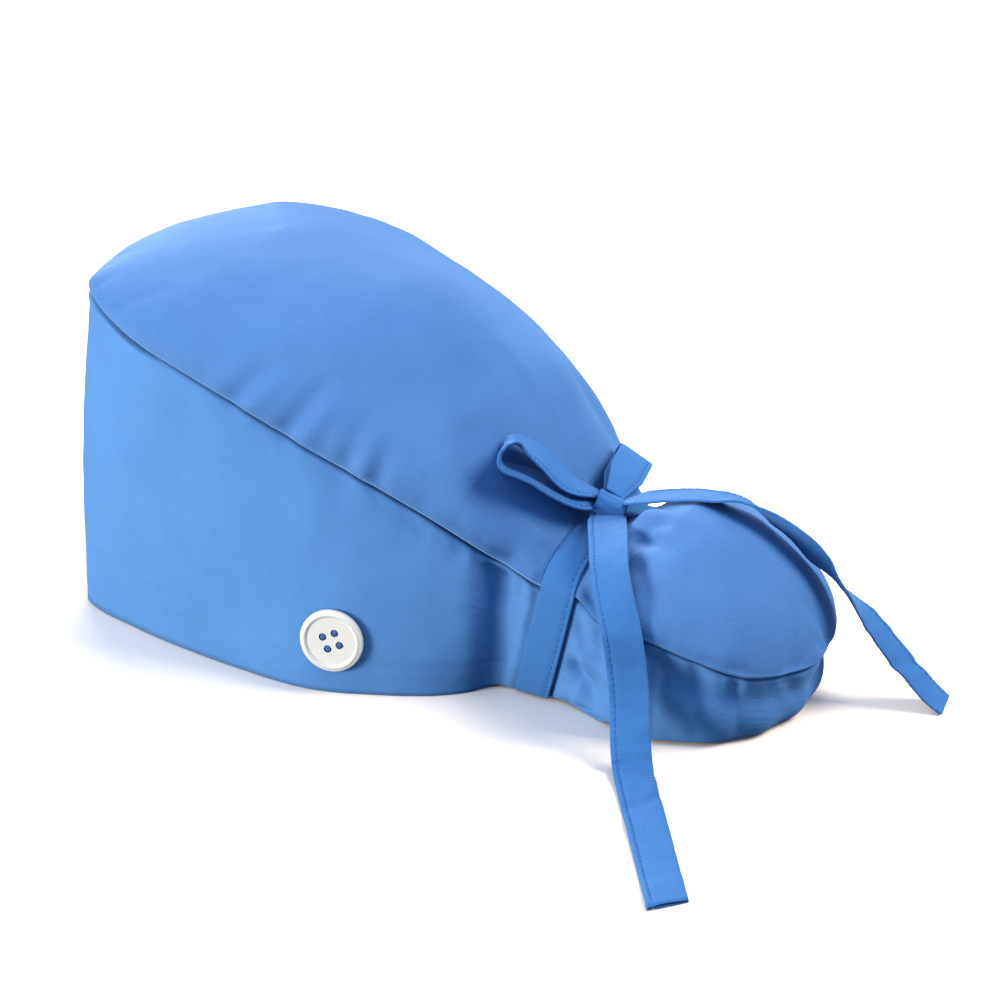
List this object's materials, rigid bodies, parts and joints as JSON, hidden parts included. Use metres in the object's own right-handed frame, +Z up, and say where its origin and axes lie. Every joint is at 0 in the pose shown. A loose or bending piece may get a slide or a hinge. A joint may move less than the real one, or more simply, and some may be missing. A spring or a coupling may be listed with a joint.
{
  "type": "scrub cap",
  "caption": "Tie-back cloth cap with an egg-shaped crown, a gathered pouch for a ponytail, ties in a bow over the neck and a button over each ear.",
  "frame": {"origin": "on the floor, at the middle of the cloth at the front of the rim", "axes": "+X towards the wearer's left, +Y from the forehead to the back of the head and the pouch, +Z up; the rim lies on the plane z = 0"},
  "size_m": [0.2542, 0.3855, 0.1639],
  "materials": {
    "crown_cloth": "fine plain weave, matte",
    "band_cloth": "fine plain weave, matte",
    "tie_cloth": "folded and stitched plain weave, matte",
    "button": "satin"
  },
  "bodies": {
    "root": {"crown": "crown_cloth", "side_band": "band_cloth", "tie_left": "tie_cloth", "tie_right": "tie_cloth", "knot": "tie_cloth", "bow_loop_left": "tie_cloth", "bow_loop_right": "tie_cloth", "tail_left": "tie_cloth", "tail_right": "tie_cloth", "button_left": "button", "button_right": "button"}
  },
  "joints": []
}
